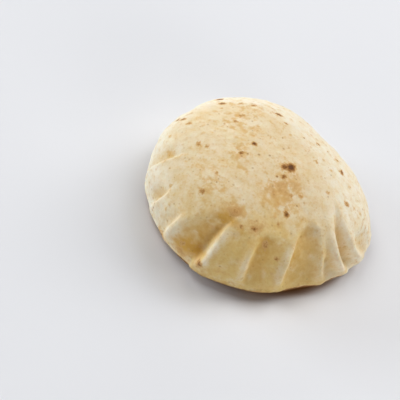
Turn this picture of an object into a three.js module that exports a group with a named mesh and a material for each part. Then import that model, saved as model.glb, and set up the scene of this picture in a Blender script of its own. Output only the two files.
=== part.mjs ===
// Pita bread: one puffed round of flatbread, whole and uncut, lying on its base.
//
// The round blew up in the oven like a balloon: a high crown over a flat disc of dough. The disc's edge
// is too long for the puffed shape, so the wall gathers into hollows between pleats that climb from the
// seam, where the crown's skin meets the base's skin.
//
// Frame: millimetres, +Z up, origin on the table under the middle of the bread. Azimuths are degrees
// counter-clockwise from +X, seen from above. "Climb" runs along the skin: 0 at the seam, 1 at the top
// of the crown, -1 at the middle of the base.
import * as THREE from 'three';

// ---------------------------------------------------------------- driving dimensions

const SEAM_RADIUS = 73.8; // mean radius of the seam
const SEAM_HEIGHT = 9; // seam above the table
const SEAM_CENTRE = { x: -1.5, y: 0.6 }; // puts the middle of the bread's outline over the origin
const SEAM_WAVES = [ // the round isn't a true circle: shares of the radius, by waves a turn
  { waves: 2, cos: -0.0193, sin: 0.0086 },
  { waves: 3, cos: 0.0335, sin: 0.001 },
  { waves: 4, cos: 0.019, sin: 0.004 },
];
const SEAM_SWAY = { height: 0.9, waves: 3, phase: 40, gone: 0.5 }; // the seam rises and falls a little
const SEAM_LIP = { height: 0.55, half: 1.3, gone: 0.3 }; // bead along the seam

const CROWN_RISE = 50; // top of the crown above the seam
const CROWN_FULLNESS = 2.2; // 2 is an ellipse, more is squarer
const CROWN_LEAN = { x: -12.4, y: -8.2 }; // how far the top of the crown sits off the seam's centre

const FOOT_SHARE = 0.72; // radius of the flat foot, as a share of the seam's
const FOOT_CLIMB = 0.55; // share of the base's climb that lies outside the foot
const BASE_FULLNESS = 2;

// Pleats, counter-clockwise. foot and head are azimuths at the seam and at the pleat's upper end, reach
// is the climb of that end, bow bends the path clockwise, late is how late it turns towards its head, and
// crest and half are how far the pleat stands out and half its width. hollow is the gather from this
// pleat to the next. depth is in mm, and less than 0 puffs out. deepest is where that lies across (0 this
// pleat, 1 the next), drift how far it moves across on the way to the top, flat makes the bottom a crease
// (1) or wide (3), and narrow says how broadly the pleats round over into it. low is the climb where it
// is at full depth, top where it ends in its middle, arch how much lower it ends beside the pleats, abrupt
// how suddenly (0 to 1), and seam is the share of the depth that is left at the seam.
const PLAIN = { bow: 0, late: 2, flat: 2, arch: 0.22, narrow: 2, drift: 0 };
const NAMED_PLEATS = [
  { foot: 190, head: 198, reach: 0.62, crest: 0, half: 3,
    hollow: { depth: 4.2, deepest: 0.8, low: 0.36, top: 0.62, abrupt: 0.4, seam: 0.05,
      flat: 1.3, arch: 0.1, narrow: 1.4 } },
  { foot: 201, head: 214, reach: 0.62, crest: 0.4, half: 2.2, late: 1,
    hollow: { depth: 4.4, deepest: 0.85, low: 0.18, top: 0.43, abrupt: 0.4, seam: 0.2,
      flat: 1.3, arch: 0.15, narrow: 1.8 } },
  { foot: 219, head: 231.5, reach: 0.43, crest: 0.4, half: 2.2, bow: -1.3, late: 1,
    hollow: { depth: 2.8, deepest: 0.84, low: 0.15, top: 0.42, abrupt: 0.4, seam: 0.25,
      flat: 1.5, arch: 0.2 } },
  { foot: 236.8, head: 248, reach: 0.43, crest: 0.8, half: 2.6, bow: -2.5, // a wide gather follows
    hollow: { depth: 8, deepest: 0.88, low: 0.13, top: 0.58, abrupt: 0.32, seam: 0.25,
      flat: 1.2, arch: 0.26, narrow: 1, drift: -0.04 } },
  { foot: 255.8, head: 277.5, reach: 0.545, crest: 0.6, half: 3.6, bow: -8, late: 4,
    hollow: { depth: 0.8, deepest: 0.7, low: 0.15, top: 0.5, abrupt: 0.5, seam: 0.1,
      arch: 0.2, narrow: 1.5 } },
  { foot: 276, head: 288, reach: 0.48, crest: 1.8, half: 3.2, bow: -2.7, late: 2.7,
    hollow: { depth: 4, deepest: 0.22, low: 0.12, top: 0.47, abrupt: 0.75, seam: 0.15,
      flat: 1.4, arch: 0.2, narrow: 1.2 } },
  { foot: 296.2, head: 318.5, reach: 0.53, crest: 2.8, half: 4, bow: -0.6, late: 2.2,
    hollow: { depth: 4.6, deepest: 0.48, low: 0.12, top: 0.51, abrupt: 0.9, seam: 0.35,
      flat: 2.6, arch: 0.12, narrow: 1 } },
  { foot: 321.6, head: 330, reach: 0.42, crest: 1, half: 2, bow: 1.5, late: 1.6,
    hollow: { depth: 2.8, deepest: 0.5, low: 0.07, top: 0.28, abrupt: 0.75, seam: 0.45,
      flat: 2.6, narrow: 1 } },
  { foot: 337.2, head: 345, reach: 0.56, crest: 2.6, half: 3.8, bow: 5.5, late: 3.8,
    hollow: { depth: 4.4, deepest: 0.3, low: 0.1, top: 0.58, abrupt: 0.5, seam: 0.3,
      flat: 1.5, arch: 0.15, narrow: 1.5, drift: 0.42 } },
  { foot: 351.6, head: 354, reach: 0.52, crest: 2, half: 3, bow: 8, late: 2.4,
    hollow: { depth: 3, deepest: 0.42, low: 0.06, top: 0.3, abrupt: 0.6, seam: 0.45,
      flat: 1.8, arch: 0.2, narrow: 1.5 } },
];
// The pleats from the last one above on to the first are drawn by rule, within these limits.
const OTHER_PLEATS = {
  from: 4, to: 176, spacing: 16, jitter: 3, lean: 2.5, overReach: 0.06,
  calm: 0.12, // strength of the first and last, as a share of the strongest in the middle
  reach: [0.24, 0.37], crest: [0.3, 0.8], half: [1.8, 2.8], depth: [1.8, 3.8], deepest: [0.3, 0.7],
  low: [0.1, 0.2], abrupt: [0.3, 0.7], seam: [0.06, 0.16], flat: [1.8, 3.2], seed: 20,
};
const RIBS = [ // short, narrow creases that stand up inside a gather
  { azimuth: 290, reach: 0.28, height: 1.2, half: 1.8 },
  { azimuth: 264, reach: 0.16, height: 0.5, half: 1.5 },
  { azimuth: 310, reach: 0.16, height: 0.4, half: 1.5 },
];
const HOLLOW_UNDER = 0.3; // climb over which a hollow dies out under the seam
const HOLLOW_ENDS = { soft: 0.3, abrupt: 0.82 }; // where a hollow starts to end, as a share of its top
const PLEAT_ROUNDING = 1.8; // how wide the skin bends over a pleat
const CREST_START = { low: -0.02, high: 0.18 }; // climbs between which a crest comes up out of the seam
const CREST_END = 0.45; // where a crest starts to end, as a share of its reach
const RIB_END = 0.4;

const SWELLS = { count: 9, height: 0.13, shortest: 24, longest: 60, seed: 5 }; // slow bumps of the skin

const FACET_STEP = 2.05; // degrees between the columns of facets, about
const BANDS = [ // rows of facets from the seam up, and then from the seam down: climb where the band
  // ends, its rows, and how many of the columns it keeps (1 all, 2 every second, 4 every fourth)
  [
    { end: 0.03, rows: 2, keep: 1 },
    { end: 0.62, rows: 17, keep: 1 },
    { end: 0.84, rows: 6, keep: 2 },
    { end: 0.97, rows: 4, keep: 4 },
  ],
  [
    { end: -0.05, rows: 1, keep: 1 },
    { end: -0.24, rows: 3, keep: 1 },
    { end: -0.55, rows: 5, keep: 2 },
    { end: -0.9, rows: 3, keep: 4 },
  ],
];
const COARSEST = 4;
const NORMAL_STEP = { climb: 0.004, azimuth: 0.5, lastClimb: 0.991 }; // for the smooth form's normal

const CRUST = { color: 0xe6cf9f, roughness: 0.85, metalness: 0 };

// ---------------------------------------------------------------- small helpers

const radians = (degrees) => (degrees * Math.PI) / 180;
const mix = (a, b, share) => a + (b - a) * share;
const clamp01 = (x) => Math.min(1, Math.max(0, x));
const bump = (distance, half) => Math.exp(-((distance / half) ** 2));

function smooth(low, high, x) {
  const t = clamp01((x - low) / (high - low));
  return t * t * (3 - 2 * t);
}

/** Returns a function that draws numbers from 0 to 1, the same ones each time for one seed. */
function makeDraw(seed) {
  const modulus = 2 ** 32;
  let state = seed;
  return () => {
    state = (Math.imul(state, 1664525) + 1013904223) >>> 0;
    return state / modulus;
  };
}

// ---------------------------------------------------------------- the pleats round the whole seam

/** The pleats drawn by rule, for the stretch between the last and the first of the named ones. */
function drawOtherPleats() {
  const rule = OTHER_PLEATS;
  const draw = makeDraw(rule.seed);
  const between = ([low, high]) => mix(low, high, draw());
  const offset = (size) => size * (2 * draw() - 1);
  const count = Math.round((rule.to - rule.from) / rule.spacing);
  const pleats = [];
  for (let i = 0; i <= count; i += 1) {
    const strength = mix(rule.calm, 1, Math.sin((Math.PI * i) / count) ** 2);
    const foot = mix(rule.from, rule.to, i / count) + (i === 0 ? 0 : offset(rule.jitter));
    const head = foot + offset(rule.lean);
    const reach = between(rule.reach);
    const crest = between(rule.crest) * strength;
    const half = between(rule.half);
    const depth = between(rule.depth) * strength;
    const deepest = between(rule.deepest);
    const low = between(rule.low);
    const abrupt = between(rule.abrupt);
    const seam = between(rule.seam);
    const flat = between(rule.flat);
    const top = reach + rule.overReach;
    const hollow = { depth, deepest, low, top, abrupt, seam, flat };
    pleats.push({ foot, head, reach, crest, half, hollow });
  }
  return pleats;
}

const PLEATS = [...drawOtherPleats(), ...NAMED_PLEATS].map((pleat) => ({
  ...PLAIN,
  ...pleat,
  hollow: { ...PLAIN, ...pleat.hollow },
}));

/** Azimuth of pleat i at a climb, in degrees. Past the last pleat it goes on a whole turn up. */
function pleatAzimuth(i, climb) {
  const turn = Math.floor(i / PLEATS.length);
  const pleat = PLEATS[i % PLEATS.length];
  const along = clamp01(climb / pleat.reach);
  const bowed = pleat.bow * 4 * along * (1 - along);
  return mix(pleat.foot, pleat.head, along ** pleat.late) - bowed + 360 * turn;
}

/** Slow bumps that run in all directions: height, waves along each axis in radians a mm, and phase. */
function drawSwells() {
  const draw = makeDraw(SWELLS.seed);
  const swells = [];
  for (let i = 0; i < SWELLS.count; i += 1) {
    const turn = 2 * Math.PI * draw();
    const z = 2 * draw() - 1;
    const rate = (2 * Math.PI) / mix(SWELLS.shortest, SWELLS.longest, draw());
    const level = Math.sqrt(1 - z * z);
    const wave = new THREE.Vector3(level * Math.cos(turn), level * Math.sin(turn), z).multiplyScalar(rate);
    swells.push({ wave, phase: 2 * Math.PI * draw() });
  }
  return swells;
}

const SWELL_WAVES = drawSwells();

// ---------------------------------------------------------------- the skin

/** How much of the skin's relief is left at a climb: all of it above the seam, none on the foot. */
const reliefLeft = (climb) => 1 - smooth(0, FOOT_CLIMB, -climb);

/** Where the smooth puffed form lies, without its gathers. */
function baseSkin(climb, azimuth) {
  const turn = radians(azimuth);
  let radius = SEAM_RADIUS;
  for (const { waves, cos, sin } of SEAM_WAVES) {
    radius += SEAM_RADIUS * (cos * Math.cos(waves * turn) + sin * Math.sin(waves * turn));
  }
  let out;
  let up;
  let lean = 0;
  if (climb >= 0) {
    const angle = (climb * Math.PI) / 2;
    out = Math.cos(angle) ** (2 / CROWN_FULLNESS);
    lean = Math.sin(angle) ** (2 / CROWN_FULLNESS);
    up = CROWN_RISE * lean;
  } else {
    const angle = (clamp01(-climb / FOOT_CLIMB) * Math.PI) / 2;
    const foot = FOOT_SHARE * clamp01((1 + climb) / (1 - FOOT_CLIMB));
    out = foot + (1 - FOOT_SHARE) * Math.cos(angle) ** (2 / BASE_FULLNESS);
    up = -SEAM_HEIGHT * Math.sin(angle) ** (2 / BASE_FULLNESS);
  }
  const swayLeft = climb >= 0 ? 1 - smooth(0, SEAM_SWAY.gone, climb) : reliefLeft(climb);
  const sway = SEAM_SWAY.height * Math.sin(SEAM_SWAY.waves * turn + radians(SEAM_SWAY.phase)) * swayLeft;
  return new THREE.Vector3(
    SEAM_CENTRE.x + radius * out * Math.cos(turn) + CROWN_LEAN.x * lean,
    SEAM_CENTRE.y + radius * out * Math.sin(turn) + CROWN_LEAN.y * lean,
    SEAM_HEIGHT + up + sway,
  );
}

/** Outward normal of the smooth form. */
function baseNormal(climb, azimuth) {
  const middle = Math.min(NORMAL_STEP.lastClimb, Math.max(-NORMAL_STEP.lastClimb, climb));
  const along = baseSkin(middle + NORMAL_STEP.climb, azimuth)
    .sub(baseSkin(middle - NORMAL_STEP.climb, azimuth));
  const across = baseSkin(middle, azimuth + NORMAL_STEP.azimuth)
    .sub(baseSkin(middle, azimuth - NORMAL_STEP.azimuth));
  return across.cross(along).normalize();
}

/** How strongly a hollow shows at a climb. aside is 0 at its deepest line and 1 at its pleats. */
function hollowAlong(hollow, climb, aside) {
  if (climb < 0) return hollow.seam * (1 - smooth(0, HOLLOW_UNDER, -climb));
  const rise = mix(hollow.seam, 1, smooth(0, hollow.low, climb));
  const top = hollow.top * (1 - hollow.arch * aside ** 2);
  const start = top * mix(HOLLOW_ENDS.soft, HOLLOW_ENDS.abrupt, hollow.abrupt);
  return rise * (1 - smooth(start, top, climb));
}

/** How far the gathers, crests and ribs move the skin out, in mm, at a share of the way over gather i. */
function gathered(i, share, climb, azimuth, degree) {
  const pleat = PLEATS[i];
  const next = PLEATS[(i + 1) % PLEATS.length];
  const { hollow } = pleat;
  const deepest = hollow.deepest + hollow.drift * clamp01(climb / hollow.top);
  const aside = share < deepest ? 1 - share / deepest : (share - deepest) / (1 - deepest);
  const fromPleat = (azimuth - pleatAzimuth(i, climb)) * degree;
  const toNext = (pleatAzimuth(i + 1, climb) - azimuth) * degree;
  const rounded = clamp01(1 - bump(fromPleat, PLEAT_ROUNDING) - bump(toNext, PLEAT_ROUNDING));
  const across = (1 - aside ** hollow.flat) ** hollow.narrow;
  let out = -hollow.depth * across * rounded * hollowAlong(hollow, climb, aside);
  const risen = smooth(CREST_START.low, CREST_START.high, climb);
  for (const [one, distance] of [[pleat, fromPleat], [next, toNext]]) {
    const left = 1 - smooth(one.reach * CREST_END, one.reach, climb);
    out += one.crest * bump(distance, one.half) * risen * left;
  }
  for (const rib of RIBS) {
    const left = 1 - smooth(rib.reach * RIB_END, rib.reach, climb);
    out += rib.height * bump((azimuth - rib.azimuth) * degree, rib.half) * risen * left;
  }
  return out;
}

/** Point on the finished skin, at a share of the way from pleat i to the next. */
function skin(i, share, climb) {
  const azimuth = mix(pleatAzimuth(i, climb), pleatAzimuth(i + 1, climb), share);
  const point = baseSkin(climb, azimuth);
  const normal = baseNormal(climb, azimuth);
  const degree = radians(1) * Math.hypot(point.x - SEAM_CENTRE.x, point.y - SEAM_CENTRE.y);
  let out = gathered(i, share, climb, azimuth, degree);
  if (Math.abs(climb) < SEAM_LIP.gone) out += SEAM_LIP.height * bump(point.z - SEAM_HEIGHT, SEAM_LIP.half);
  for (const { wave, phase } of SWELL_WAVES) out += SWELLS.height * Math.sin(wave.dot(point) + phase);
  point.addScaledVector(normal, out * reliefLeft(climb));
  point.z = Math.max(0, point.z);
  return point;
}

// ---------------------------------------------------------------- facets

/** Columns of facets from the seam to both poles, with one on each pleat and on each deepest line. */
function makeColumns() {
  const columns = [];
  let spare = 0;
  for (let i = 0; i < PLEATS.length; i += 1) {
    const width = pleatAzimuth(i + 1, 0) - pleatAzimuth(i, 0);
    const { deepest } = PLEATS[i].hollow;
    for (const [from, to] of [[0, deepest], [deepest, 1]]) {
      const wanted = ((to - from) * width) / FACET_STEP + spare;
      const count = Math.max(2, Math.round(wanted));
      spare = wanted - count;
      for (let k = 0; k < count; k += 1) columns.push({ i, share: mix(from, to, k / count) });
    }
  }
  const last = columns.at(-1);
  const missing = (COARSEST - (columns.length % COARSEST)) % COARSEST;
  for (let k = 1; k <= missing; k += 1) {
    columns.push({ i: last.i, share: mix(last.share, 1, k / (missing + 1)) });
  }
  return columns;
}

/** Joins two rings of vertex numbers. The fine one has a whole number of vertices for each coarse one. */
function joinRings(fine, coarse, triangles, flip) {
  const ratio = fine.length / coarse.length;
  const middle = Math.ceil(ratio / 2);
  const add = (a, b, c) => triangles.push(...(flip ? [a, c, b] : [a, b, c]));
  for (let k = 0; k < coarse.length; k += 1) {
    const here = coarse[k];
    const next = coarse[(k + 1) % coarse.length];
    for (let m = 0; m < ratio; m += 1) {
      const a = fine[k * ratio + m];
      const b = fine[(k * ratio + m + 1) % fine.length];
      add(a, b, m < middle ? here : next);
      if (m === middle - 1) add(b, next, here);
    }
  }
}

function makePita() {
  const columns = makeColumns();
  const points = [];
  const triangles = [];
  const addPoint = (i, share, climb) => {
    points.push(...skin(i, share, climb).toArray());
    return points.length / 3 - 1;
  };
  const addRing = (climb, keep) => {
    const kept = columns.filter((column, k) => k % keep === 0);
    return kept.map(({ i, share }) => addPoint(i, share, climb));
  };
  const seam = addRing(0, 1);
  BANDS.forEach((bands, side) => {
    let ring = seam;
    let start = 0;
    for (const band of bands) {
      for (let row = 1; row <= band.rows; row += 1) {
        const next = addRing(mix(start, band.end, row / band.rows), band.keep);
        joinRings(ring, next, triangles, side === 1);
        ring = next;
      }
      start = band.end;
    }
    const pole = addPoint(0, 0, side === 0 ? 1 : -1);
    ring.forEach((a, k) => {
      const b = ring[(k + 1) % ring.length];
      triangles.push(...(side === 0 ? [a, b, pole] : [b, a, pole]));
    });
  });
  const geometry = new THREE.BufferGeometry();
  geometry.setAttribute('position', new THREE.Float32BufferAttribute(points, 3));
  geometry.setIndex(triangles);
  geometry.computeVertexNormals();
  const pita = new THREE.Mesh(geometry, new THREE.MeshStandardMaterial(CRUST));
  pita.name = 'pita';
  return pita;
}

const bread = new THREE.Group();
bread.add(makePita());

export default bread;
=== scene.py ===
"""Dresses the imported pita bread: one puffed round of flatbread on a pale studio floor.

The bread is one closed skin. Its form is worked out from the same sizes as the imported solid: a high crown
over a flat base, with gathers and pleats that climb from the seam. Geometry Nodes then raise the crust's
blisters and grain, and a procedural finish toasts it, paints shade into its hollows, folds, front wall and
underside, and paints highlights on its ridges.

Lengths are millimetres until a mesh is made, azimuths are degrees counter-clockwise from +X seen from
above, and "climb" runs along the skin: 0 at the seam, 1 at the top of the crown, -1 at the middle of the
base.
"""

from __future__ import annotations

import logging
import math
from collections.abc import Iterable, Iterator
from dataclasses import dataclass, field
from enum import Enum

import bpy
import numpy as np
from mathutils import Matrix, Vector

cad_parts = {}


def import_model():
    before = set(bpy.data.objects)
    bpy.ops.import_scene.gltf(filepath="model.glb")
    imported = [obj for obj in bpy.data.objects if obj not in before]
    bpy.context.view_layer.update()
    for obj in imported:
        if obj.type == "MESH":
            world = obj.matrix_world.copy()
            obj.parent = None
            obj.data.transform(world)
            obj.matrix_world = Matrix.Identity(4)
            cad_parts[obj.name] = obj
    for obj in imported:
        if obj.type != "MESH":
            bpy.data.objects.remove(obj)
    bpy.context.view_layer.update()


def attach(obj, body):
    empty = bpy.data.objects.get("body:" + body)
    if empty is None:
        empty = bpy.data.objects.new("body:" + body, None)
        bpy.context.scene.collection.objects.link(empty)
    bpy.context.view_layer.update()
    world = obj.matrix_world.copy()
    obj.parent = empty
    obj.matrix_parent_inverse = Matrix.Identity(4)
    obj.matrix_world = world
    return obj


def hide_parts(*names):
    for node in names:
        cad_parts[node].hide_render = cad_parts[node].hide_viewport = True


log = logging.getLogger("pita")

MM = 0.001
QUARTER_TURN = 90.0
DRAW_FACTOR = 1664525
DRAW_STEP = 1013904223
DRAW_RANGE = 2**32
Array = np.ndarray
Socket = bpy.types.NodeSocket
Span = tuple[float, float]
Colour = tuple[float, float, float]


# ---------------- small helpers


def mix(a: Array | float, b: Array | float, share: Array | float) -> Array | float:
    """Goes from a to b as share goes from 0 to 1."""
    return a + (b - a) * share


def smooth(low: Array | float, high: Array | float, x: Array) -> Array:
    """Rises softly from 0 at low to 1 at high."""
    t = np.clip((x - low) / (high - low), 0.0, 1.0)
    return t * t * (3.0 - 2.0 * t)


def bump(distance: Array, half: Array | float) -> Array:
    """A bell of height 1 that has fallen to a third at half."""
    return np.exp(-((distance / half) ** 2))


def turned(azimuth: Array | float, start: float) -> Array | float:
    """Gives how far an azimuth is turned from a start, from -180 to 180 degrees."""
    return (azimuth - start + 180.0) % 360.0 - 180.0


def draws(seed: int) -> Iterator[float]:
    """Draws numbers from 0 to 1, the same ones each time for one seed.

    Args:
        seed: where the row of numbers starts.

    Yields:
        The next number.
    """
    state = seed
    while True:
        state = (state * DRAW_FACTOR + DRAW_STEP) % DRAW_RANGE
        yield state / DRAW_RANGE


def put(name: str, data: bpy.types.ID) -> bpy.types.Object:
    """Makes an object of its data and links it to the scene.

    Args:
        name: the object's name.
        data: its mesh, lamp or camera.

    Returns:
        The object.
    """
    made = bpy.data.objects.new(name, data)
    bpy.context.scene.collection.objects.link(made)
    return made


# ---------------- the form


@dataclass(frozen=True)
class Hollow:
    """The gather between one pleat and the next.

    depth is in mm, and below 0 it puffs out. deepest is where that lies across (0 this pleat, 1 the
    next). low is the climb where it is at full depth, top where it ends in its middle, abrupt how
    suddenly, seam the share of the depth left at the seam, flat how wide its bottom is, arch how much
    lower it ends beside the pleats, and narrow how broadly the pleats round over into it. drift moves
    the deepest line across on the way to the top.
    """

    depth: float
    deepest: float
    low: float
    top: float
    abrupt: float
    seam: float
    flat: float = 2.0
    arch: float = 0.22
    narrow: float = 2.0
    drift: float = 0.0


@dataclass(frozen=True)
class Pleat:
    """A fold of the skin that climbs from the seam.

    foot and head are azimuths at the seam and at the upper end, reach is the climb of that end, crest and
    half are how far it stands out and half its width in mm. bow bends its path clockwise, and late is
    how late it turns towards its head.
    """

    foot: float
    head: float
    reach: float
    crest: float
    half: float
    hollow: Hollow
    bow: float = 0.0
    late: float = 2.0


@dataclass(frozen=True)
class PleatRule:
    """The limits within which the unnamed pleats are drawn, from one azimuth to another."""

    start: float = 4.0
    stop: float = 176.0
    spacing: float = 16.0
    jitter: float = 3.0
    lean: float = 2.5
    over_reach: float = 0.06
    calm: float = 0.12
    reach: Span = (0.24, 0.37)
    crest: Span = (0.3, 0.8)
    half: Span = (1.8, 2.8)
    depth: Span = (1.8, 3.8)
    deepest: Span = (0.3, 0.7)
    low: Span = (0.1, 0.2)
    abrupt: Span = (0.3, 0.7)
    seam: Span = (0.06, 0.16)
    flat: Span = (1.8, 3.2)
    seed: int = 20

    def draw(self) -> list[Pleat]:
        """Draws the pleats in order round the seam.

        Returns:
            The pleats, counter-clockwise.
        """
        number = draws(self.seed)

        def between(limits: Span) -> float:
            """Draws a value between two limits."""
            return mix(*limits, next(number))

        def offset(size: float) -> float:
            """Draws a value up to size either way."""
            return size * (2.0 * next(number) - 1.0)

        count = round((self.stop - self.start) / self.spacing)
        pleats = []
        for i in range(count + 1):
            strength = mix(self.calm, 1.0, math.sin(math.pi * i / count) ** 2)
            foot = mix(self.start, self.stop, i / count) + (offset(self.jitter) if i else 0.0)
            head = foot + offset(self.lean)
            names = ("reach", "crest", "half", "depth", "deepest", "low", "abrupt", "seam", "flat")
            drawn = {name: between(getattr(self, name)) for name in names}
            top = drawn["reach"] + self.over_reach
            sizes = [drawn[name] for name in ("abrupt", "seam", "flat")]
            hollow = Hollow(drawn["depth"] * strength, drawn["deepest"], drawn["low"], top, *sizes)
            crest = drawn["crest"] * strength
            pleats.append(Pleat(foot, head, drawn["reach"], crest, drawn["half"], hollow))
        return pleats


# Each pleat's foot, head, reach, crest and half, its hollow's sizes, and its bow and late.
NAMED_PLEATS = (
    Pleat(190, 198, 0.62, 0, 3, Hollow(4.2, 0.8, 0.36, 0.62, 0.4, 0.05, 1.3, 0.1, 1.4)),
    Pleat(201, 214, 0.62, 0.4, 2.2, Hollow(4.4, 0.85, 0.18, 0.43, 0.4, 0.2, 1.3, 0.15, 1.8), 0, 1),
    Pleat(219, 231.5, 0.43, 0.4, 2.2, Hollow(2.8, 0.84, 0.15, 0.42, 0.4, 0.25, 1.5, 0.2, 2), -1.3, 1),
    Pleat(236.8, 248, 0.43, 0.8, 2.6, Hollow(8, 0.88, 0.13, 0.58, 0.32, 0.25, 1.2, 0.26, 1, -0.04), -2.5, 2),
    Pleat(255.8, 277.5, 0.545, 0.6, 3.6, Hollow(0.8, 0.7, 0.15, 0.5, 0.5, 0.1, 2, 0.2, 1.5), -8, 4),
    Pleat(276, 288, 0.48, 1.8, 3.2, Hollow(4, 0.22, 0.12, 0.47, 0.75, 0.15, 1.4, 0.2, 1.2), -2.7, 2.7),
    Pleat(296.2, 318.5, 0.53, 2.8, 4, Hollow(4.6, 0.48, 0.12, 0.51, 0.9, 0.35, 2.6, 0.12, 1), -0.6, 2.2),
    Pleat(321.6, 330, 0.42, 1, 2, Hollow(2.8, 0.5, 0.07, 0.28, 0.75, 0.45, 2.6, 0.22, 1), 1.5, 1.6),
    Pleat(337.2, 345, 0.56, 2.6, 3.8, Hollow(4.4, 0.3, 0.1, 0.58, 0.5, 0.3, 1.5, 0.15, 1.5, 0.42), 5.5, 3.8),
    Pleat(351.6, 354, 0.52, 2, 3, Hollow(3, 0.42, 0.06, 0.3, 0.6, 0.45, 1.8, 0.2, 1.5), 8, 2.4),
)


@dataclass(frozen=True)
class Rib:
    """A short, narrow crease that stands up inside a gather."""

    azimuth: float
    reach: float
    height: float
    half: float


@dataclass(frozen=True)
class Swells:
    """Slow bumps of the thin skin that run in all directions."""

    count: int = 9
    height: float = 0.13
    shortest: float = 24.0
    longest: float = 60.0
    seed: int = 5

    def waves(self) -> list[tuple[Array, float]]:
        """Draws the waves.

        Returns:
            For each wave, its rate along each axis in radians a mm, and its phase.
        """
        number = draws(self.seed)
        waves = []
        for _ in range(self.count):
            turn = 2.0 * math.pi * next(number)
            z = 2.0 * next(number) - 1.0
            rate = 2.0 * math.pi / mix(self.shortest, self.longest, next(number))
            level = math.sqrt(1.0 - z * z)
            direction = np.array([level * math.cos(turn), level * math.sin(turn), z])
            waves.append((direction * rate, 2.0 * math.pi * next(number)))
        return waves


@dataclass
class PuffedForm:
    """The form of the skin: where a climb and a place between two pleats lie in space."""

    seam_radius: float = 73.8
    seam_height: float = 9.0
    seam_centre: Span = (-1.5, 0.6)
    seam_waves: tuple[tuple[int, float, float], ...] = (
        (2, -0.0193, 0.0086),
        (3, 0.0335, 0.001),
        (4, 0.019, 0.004),
    )
    sway_height: float = 0.9
    sway_waves: int = 3
    sway_phase: float = 40.0
    sway_gone: float = 0.5
    lip_height: float = 0.55
    lip_half: float = 1.3
    lip_gone: float = 0.3
    crown_rise: float = 50.0
    crown_fullness: float = 2.2
    crown_lean: Span = (-12.4, -8.2)
    foot_share: float = 0.72
    foot_climb: float = 0.55
    base_fullness: float = 2.0
    hollow_under: float = 0.3
    hollow_soft: float = 0.3
    hollow_abrupt: float = 0.82
    pleat_rounding: float = 2.8
    crest_low: float = -0.02
    crest_high: float = 0.18
    crest_end: float = 0.45
    rib_end: float = 0.4
    step_climb: float = 0.004
    step_azimuth: float = 0.5
    last_climb: float = 0.991
    ribs: tuple[Rib, ...] = (
        Rib(290, 0.28, 1.2, 1.8),
        Rib(264, 0.16, 0.5, 1.5),
        Rib(310, 0.16, 0.4, 1.5),
    )
    swells: Swells = field(default_factory=Swells)
    rule: PleatRule = field(default_factory=PleatRule)

    def __post_init__(self) -> None:
        """Sets out the pleats round the whole seam, and the swells."""
        self.pleats = (*self.rule.draw(), *NAMED_PLEATS)
        self.swell_waves = self.swells.waves()

    def pleat_values(self, name: str, shift: int = 0) -> Array:
        """Lists one size of every pleat, or of the pleat that many places on."""
        return np.array([getattr(p, name) for p in np.roll(self.pleats, -shift)], dtype=float)

    def hollow_values(self, name: str) -> Array:
        """Lists one size of every gather."""
        return np.array([getattr(p.hollow, name) for p in self.pleats], dtype=float)

    def path(self, gather: Array, climb: Array, shift: int = 0) -> Array:
        """Finds the azimuth of each gather's pleat, or of the pleat after it.

        Args:
            gather: number of the gather at each place.
            climb: climb at each place.
            shift: 0 for the gather's own pleat, 1 for the next one.

        Returns:
            The azimuth in degrees. The pleat after the last one lies a whole turn on.
        """
        names = ("foot", "head", "reach", "bow", "late")
        foot, head, reach, bow, late = (self.pleat_values(name, shift)[gather] for name in names)
        along = np.clip(climb / reach, 0.0, 1.0)
        turn = 360.0 * (gather + shift >= len(self.pleats))
        return mix(foot, head, along**late) - bow * 4.0 * along * (1.0 - along) + turn

    def relief_left(self, climb: Array) -> Array:
        """Gives how much relief is left: all of it above the seam, none on the foot."""
        return 1.0 - smooth(0.0, self.foot_climb, -climb)

    def base_skin(self, climb: Array, azimuth: Array) -> Array:
        """Finds points of the smooth puffed form, without its gathers.

        Args:
            climb: climb at each place.
            azimuth: azimuth at each place, in degrees.

        Returns:
            The points, with x, y and z on the last axis.
        """
        turn = np.radians(azimuth)
        radius = np.full_like(turn, self.seam_radius)
        for waves, cosine, sine in self.seam_waves:
            radius += self.seam_radius * (cosine * np.cos(waves * turn) + sine * np.sin(waves * turn))
        above = climb >= 0.0
        angle = np.clip(climb, 0.0, 1.0) * math.pi / 2.0
        crown_power = 2.0 / self.crown_fullness
        crown_out = np.maximum(np.cos(angle), 0.0) ** crown_power
        lean = np.where(above, np.sin(angle) ** crown_power, 0.0)
        angle = np.clip(-climb / self.foot_climb, 0.0, 1.0) * math.pi / 2.0
        base_power = 2.0 / self.base_fullness
        foot = self.foot_share * np.clip((1.0 + climb) / (1.0 - self.foot_climb), 0.0, 1.0)
        base_out = foot + (1.0 - self.foot_share) * np.maximum(np.cos(angle), 0.0) ** base_power
        base_up = -self.seam_height * np.sin(angle) ** base_power
        out = np.where(above, crown_out, base_out)
        up = np.where(above, self.crown_rise * lean, base_up)
        sway_left = np.where(above, 1.0 - smooth(0.0, self.sway_gone, climb), self.relief_left(climb))
        sway = self.sway_height * np.sin(self.sway_waves * turn + math.radians(self.sway_phase)) * sway_left
        x = self.seam_centre[0] + radius * out * np.cos(turn) + self.crown_lean[0] * lean
        y = self.seam_centre[1] + radius * out * np.sin(turn) + self.crown_lean[1] * lean
        return np.stack([x, y, self.seam_height + up + sway], -1)

    def base_normal(self, climb: Array, azimuth: Array) -> Array:
        """Finds the outward normals of the smooth form.

        Args:
            climb: climb at each place.
            azimuth: azimuth at each place, in degrees.

        Returns:
            The normals, with x, y and z on the last axis.
        """
        middle = np.clip(climb, -self.last_climb, self.last_climb)
        above = self.base_skin(middle + self.step_climb, azimuth)
        along = above - self.base_skin(middle - self.step_climb, azimuth)
        ahead = self.base_skin(middle, azimuth + self.step_azimuth)
        behind = self.base_skin(middle, azimuth - self.step_azimuth)
        normal = np.cross(ahead - behind, along)
        return normal / np.linalg.norm(normal, axis=-1, keepdims=True)

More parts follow.
